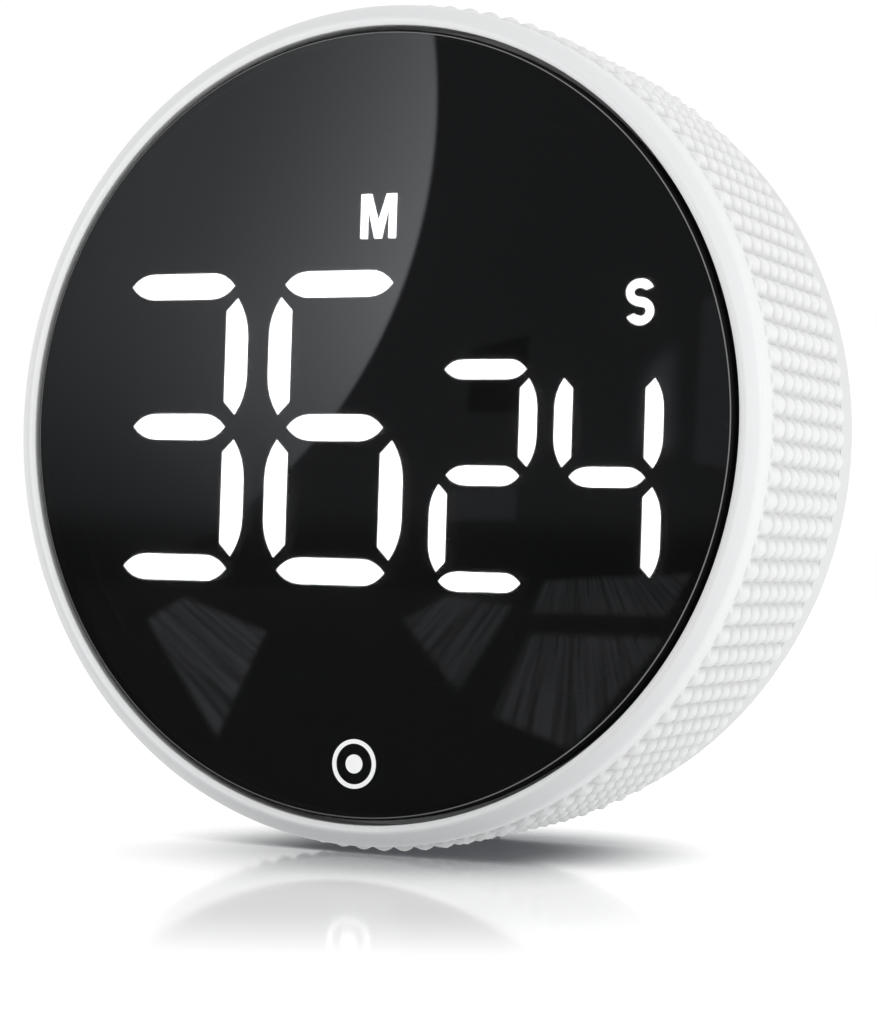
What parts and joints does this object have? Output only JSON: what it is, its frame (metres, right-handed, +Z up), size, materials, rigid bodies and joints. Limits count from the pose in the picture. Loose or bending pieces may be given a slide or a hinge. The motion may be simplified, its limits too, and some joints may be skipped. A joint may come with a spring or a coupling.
{
  "type": "digital kitchen timer",
  "caption": "Round upright countdown timer: a knurled ring turns round a press-in smoked panel over lit digits, with a magnetic back, a battery door and a volume slide.",
  "frame": {"origin": "on the floor under the middle of the timer standing on its ring", "axes": "+X to the right seen from the front, +Y from the display to the magnetic back, +Z up"},
  "size_m": [0.078, 0.027, 0.078],
  "materials": {
    "white_plastic": "satin white moulding",
    "grip_plastic": "satin white moulding with a pearl knurl",
    "black_plastic": "matt black moulding",
    "smoked_panel": "smoked acrylic, polished",
    "white_print": "screen print",
    "mask_black": "matt black film",
    "reflector_white": "white reflector moulding",
    "diffuser": "milky diffuser, lit from behind",
    "led_resin": "phosphor resin",
    "board_green": "solder-masked board",
    "component_black": "moulded component case",
    "can_metal": "drawn can",
    "gear_plastic": "natural acetal",
    "plunger_red": "moulded plunger",
    "slider_grey": "moulded slider",
    "steel": "plated steel",
    "cell_case": "plain foil label",
    "magnet_metal": "nickel plate",
    "pad_rubber": "grippy pad",
    "foot_rubber": "soft white foot"
  },
  "bodies": {
    "housing": {"rear_housing": "white_plastic", "chassis": "black_plastic", "display_mask": "mask_black", "display_reflector": "reflector_white", "digit_minute_tens": "diffuser", "digit_minute_units": "diffuser", "digit_second_tens": "diffuser", "digit_second_units": "diffuser", "minute_letter": "diffuser", "second_letter": "diffuser", "led_chips": "led_resin", "main_board": "board_green", "switch_board": "board_green", "controller_chip": "component_black", "encoder_body": "component_black", "tact_switch": "component_black", "buzzer": "component_black", "capacitor": "can_metal", "hinge_pin": "steel", "housing_screws": "steel", "board_screws": "steel", "volume_switch_body": "steel", "battery_spring_1": "steel", "battery_spring_2": "steel", "battery_spring_3": "steel", "battery_plate_1": "steel", "battery_plate_2": "steel", "battery_plate_3": "steel", "aaa_cell_1": "cell_case", "aaa_cell_2": "cell_case", "aaa_cell_3": "cell_case", "magnet_top": "magnet_metal", "magnet_left": "magnet_metal", "magnet_right": "magnet_metal", "magnet_pad_top": "pad_rubber", "magnet_pad_left": "pad_rubber", "magnet_pad_right": "pad_rubber", "rest_pad": "pad_rubber", "stand_foot": "foot_rubber"},
    "knob": {"bezel_ring": "white_plastic", "grip_band": "grip_plastic", "ring_gear": "gear_plastic"},
    "panel": {"front_panel": "smoked_panel", "panel_frame": "black_plastic", "press_mark": "white_print"},
    "encoder_rotor": {"encoder_pinion": "gear_plastic"},
    "plunger": {"tact_plunger": "plunger_red"},
    "slider": {"volume_slider": "slider_grey"},
    "door": {"battery_door": "white_plastic"}
  },
  "joints": [
    {"name": "knob_turn", "type": "hinge", "parent": "housing", "child": "knob", "pos_m": [0, 0, 0.039], "axis": [0, 1, 0], "continuous": true},
    {"name": "pinion_spin", "type": "hinge", "parent": "housing", "child": "encoder_rotor", "pos_m": [0, 0.0063, 0.0654], "axis": [0, 1, 0], "continuous": true},
    {"name": "panel_press", "type": "hinge", "parent": "housing", "child": "panel", "pos_m": [0, -0.008, 0.0695], "axis": [1, 0, 0], "range_deg": [0, 0.35], "stiffness_Nm_per_rad": 10, "springref_deg": -0.23},
    {"name": "plunger_press", "type": "slide", "parent": "housing", "child": "plunger", "axis": [0, 1, 0], "range_m": [0, 0.0004]},
    {"name": "volume_slide", "type": "slide", "parent": "housing", "child": "slider", "axis": [1, 0, 0], "range_m": [-0.002, 0.002]},
    {"name": "door_swing", "type": "hinge", "parent": "housing", "child": "door", "pos_m": [0, 0.0114, 0.0569], "axis": [1, 0, 0], "range_deg": [0, 90]}
  ],
  "couplings": [
    {"joint": "pinion_spin", "follows": "knob_turn", "ratio": 4.6667},
    {"joint": "plunger_press", "follows": "panel_press", "m_per_rad": 0.0591}
  ]
}
